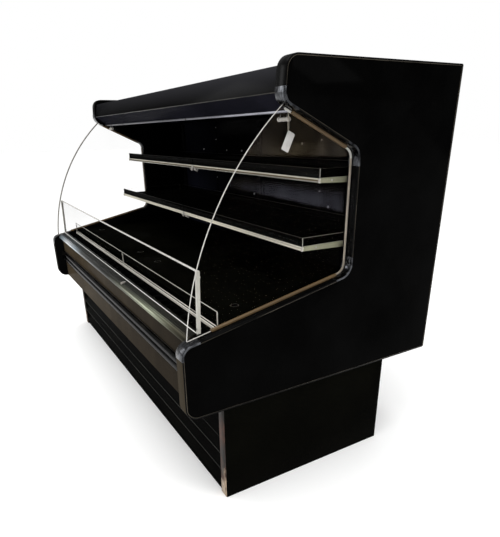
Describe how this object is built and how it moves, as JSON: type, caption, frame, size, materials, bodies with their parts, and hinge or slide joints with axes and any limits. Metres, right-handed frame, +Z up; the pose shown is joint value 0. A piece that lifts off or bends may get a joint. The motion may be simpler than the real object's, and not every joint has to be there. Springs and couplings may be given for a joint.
{
  "type": "refrigerated deli case",
  "caption": "Semi-vertical self-service refrigerated deli case: C-shaped ends with clear side panes, canopy, lit shelves, deck, low front glass, bumper and louvred kick grille.",
  "frame": {"origin": "centre of the overall box in plan, on the floor", "axes": "+Z up, -Y towards the customer, +X to the customer's right along the case"},
  "size_m": [1.924, 1.02, 1.32],
  "materials": {
    "black_paint": "gloss black enamel",
    "black_rubber": "smooth black edge trim",
    "clear_glass": "clear toughened glass with polished edges",
    "clear_acrylic": "clear sheet with polished edges",
    "cream_plastic": "cream extrusion",
    "cream_paint": "cream powder coat",
    "white_plastic": "white satin",
    "bright_aluminium": "bright ribbed extrusion",
    "black_plastic": "black moulded",
    "frame_steel": "dark painted steel",
    "fin_aluminium": "plain mill",
    "tag_paper": "blank card"
  },
  "bodies": {
    "cabinet": {"endPanelRight": "black_paint", "baseEndRight": "black_paint", "endTrimRight": "black_rubber", "endGlassRight": "clear_glass", "glassChannelRight": "cream_plastic", "endPanelLeft": "black_paint", "baseEndLeft": "black_paint", "endTrimLeft": "black_rubber", "endGlassLeft": "clear_glass", "glassChannelLeft": "cream_plastic", "insulatedBody": "black_paint", "canopyFascia": "black_paint", "upperFrontPanel": "black_paint", "lowerFrontPanel": "black_paint", "ductPanel": "black_paint", "shelfStandardRight": "black_paint", "shelfStandardMiddle": "black_paint", "shelfStandardLeft": "black_paint", "noseRail": "bright_aluminium", "canopyStrip": "bright_aluminium", "airDiffuser": "black_plastic", "bumperRail": "black_rubber", "fenceHolder": "cream_plastic", "canopyLamp": "white_plastic", "baseFrame": "frame_steel", "compressor": "frame_steel", "fanPlenum": "fin_aluminium", "evaporatorCoil": "fin_aluminium", "condenserCoil": "fin_aluminium"},
    "upper_shelf_right": {"upperShelfRight": "black_paint", "upperShelfFrameRight": "cream_paint", "upperLampStripRight": "white_plastic", "upperDividerRight": "clear_acrylic"},
    "upper_shelf_left": {"upperShelfLeft": "black_paint", "upperShelfFrameLeft": "cream_paint", "upperLampStripLeft": "white_plastic", "upperDividerLeft": "clear_acrylic"},
    "lower_shelf_right": {"lowerShelfRight": "black_paint", "lowerShelfFrameRight": "cream_paint", "lowerLampStripRight": "white_plastic", "lowerDividerRight": "clear_acrylic"},
    "lower_shelf_left": {"lowerShelfLeft": "black_paint", "lowerShelfFrameLeft": "cream_paint", "lowerLampStripLeft": "white_plastic", "lowerDividerLeft": "clear_acrylic"},
    "deck_pan_right": {"deckPanRight": "black_paint"},
    "inner_fence_right": {"innerFenceRight": "clear_acrylic"},
    "deck_pan_left": {"deckPanLeft": "black_paint"},
    "inner_fence_left": {"innerFenceLeft": "clear_acrylic"},
    "front_glass": {"frontGlass": "clear_glass", "frontGlassPostRight": "white_plastic", "frontGlassPostLeft": "white_plastic"},
    "kick_grille": {"kickGrille": "black_paint"},
    "rear_grille": {"rearGrille": "black_paint"},
    "return_grille": {"returnGrille": "black_paint"},
    "evaporator_fan": {"evaporatorFan": "black_plastic"},
    "condenser_fan": {"condenserFan": "black_plastic"},
    "light_switch": {"lightSwitch": "black_plastic"},
    "hang_tag": {"hangTag": "tag_paper"}
  },
  "joints": [
    {"name": "upper_shelf_right_lift", "type": "hinge", "parent": "cabinet", "child": "upper_shelf_right", "pos_m": [0.4545, 0.3514, 1.0027], "axis": [-1, 0, 0], "range_deg": [0, 20]},
    {"name": "upper_shelf_left_lift", "type": "hinge", "parent": "cabinet", "child": "upper_shelf_left", "pos_m": [-0.4545, 0.3514, 1.0027], "axis": [-1, 0, 0], "range_deg": [0, 20]},
    {"name": "lower_shelf_right_lift", "type": "hinge", "parent": "cabinet", "child": "lower_shelf_right", "pos_m": [0.4545, 0.3514, 0.8007], "axis": [-1, 0, 0], "range_deg": [0, 20]},
    {"name": "lower_shelf_left_lift", "type": "hinge", "parent": "cabinet", "child": "lower_shelf_left", "pos_m": [-0.4545, 0.3514, 0.8007], "axis": [-1, 0, 0], "range_deg": [0, 20]},
    {"name": "deck_pan_right_lift", "type": "slide", "parent": "cabinet", "child": "deck_pan_right", "axis": [0, 0, 1], "range_m": [0, 0.12]},
    {"name": "inner_fence_right_lift", "type": "slide", "parent": "cabinet", "child": "inner_fence_right", "axis": [0, 0, 1], "range_m": [0, 0.08]},
    {"name": "deck_pan_left_lift", "type": "slide", "parent": "cabinet", "child": "deck_pan_left", "axis": [0, 0, 1], "range_m": [0, 0.12]},
    {"name": "inner_fence_left_lift", "type": "slide", "parent": "cabinet", "child": "inner_fence_left", "axis": [0, 0, 1], "range_m": [0, 0.08]},
    {"name": "front_glass_lift", "type": "slide", "parent": "cabinet", "child": "front_glass", "axis": [0, 0.0357, 0.9994], "range_m": [0, 0.2]},
    {"name": "kick_grille_pull", "type": "slide", "parent": "cabinet", "child": "kick_grille", "axis": [0, -1, 0], "range_m": [0, 0.15]},
    {"name": "rear_grille_pull", "type": "slide", "parent": "cabinet", "child": "rear_grille", "axis": [0, 1, 0], "range_m": [0, 0.15]},
    {"name": "return_grille_lift", "type": "slide", "parent": "cabinet", "child": "return_grille", "axis": [0, 0, 1], "range_m": [0, 0.1]},
    {"name": "evaporator_fan_spin", "type": "hinge", "parent": "cabinet", "child": "evaporator_fan", "pos_m": [-0.42, -0.148, 0.5], "axis": [0, 1, 0], "continuous": true},
    {"name": "condenser_fan_spin", "type": "hinge", "parent": "cabinet", "child": "condenser_fan", "pos_m": [-0.12, -0.236, 0.165], "axis": [0, 1, 0], "continuous": true},
    {"name": "light_switch_rock", "type": "hinge", "parent": "cabinet", "child": "light_switch", "pos_m": [0.806, -0.02, 1.191], "axis": [1, 0, 0], "range_deg": [-7, 7]},
    {"name": "hang_tag_swing", "type": "hinge", "parent": "cabinet", "child": "hang_tag", "pos_m": [0.896, -0.114, 1.1821], "axis": [1, 0, 0], "range_deg": [-30, 30]}
  ]
}
